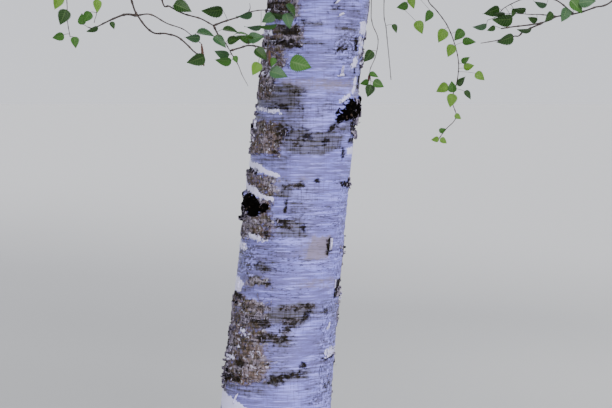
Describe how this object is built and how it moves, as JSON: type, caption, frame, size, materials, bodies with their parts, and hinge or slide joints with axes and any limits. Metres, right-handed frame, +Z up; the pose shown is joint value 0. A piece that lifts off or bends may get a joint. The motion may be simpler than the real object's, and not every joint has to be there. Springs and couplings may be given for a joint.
{
  "type": "silver birch tree",
  "caption": "Slender birch with a leaning white trunk of rough dark patches, rising boughs and a weeping, airy crown in fresh spring leaf.",
  "frame": {"origin": "middle of the flat cut under the trunk, at ground level", "axes": "+Z up along the tree's height, +X the way the trunk leans, -Y towards the viewer of the picture"},
  "size_m": [7.7499, 7.2953, 14.9795],
  "materials": {
    "trunk_bark": "papery white bark with fine cross lines and rough dark patches",
    "bough_bark": "thin brown-grey bark",
    "foliage": "soft fresh green leaves"
  },
  "bodies": {
    "root": {"trunk": "trunk_bark", "low_bough_1": "bough_bark", "low_bough_2": "bough_bark", "low_bough_3": "bough_bark", "bough_01": "bough_bark", "bough_02": "bough_bark", "bough_03": "bough_bark", "bough_04": "bough_bark", "bough_05": "bough_bark", "bough_06": "bough_bark", "bough_07": "bough_bark", "bough_08": "bough_bark", "bough_09": "bough_bark", "bough_10": "bough_bark", "bough_11": "bough_bark", "bough_12": "bough_bark", "bough_13": "bough_bark", "bough_14": "bough_bark", "bough_15": "bough_bark", "bough_16": "bough_bark", "low_foliage_1": "foliage", "low_foliage_2": "foliage", "low_foliage_3": "foliage", "foliage_01": "foliage", "foliage_02": "foliage", "foliage_03": "foliage", "foliage_04": "foliage", "foliage_05": "foliage", "foliage_06": "foliage", "foliage_07": "foliage", "foliage_08": "foliage", "foliage_09": "foliage", "foliage_10": "foliage", "foliage_11": "foliage", "foliage_12": "foliage", "foliage_13": "foliage", "foliage_14": "foliage", "foliage_15": "foliage", "foliage_16": "foliage", "foliage_top_1": "foliage", "foliage_top_2": "foliage", "foliage_top_3": "foliage", "foliage_top_4": "foliage", "foliage_crown_tip": "foliage"}
  },
  "joints": []
}
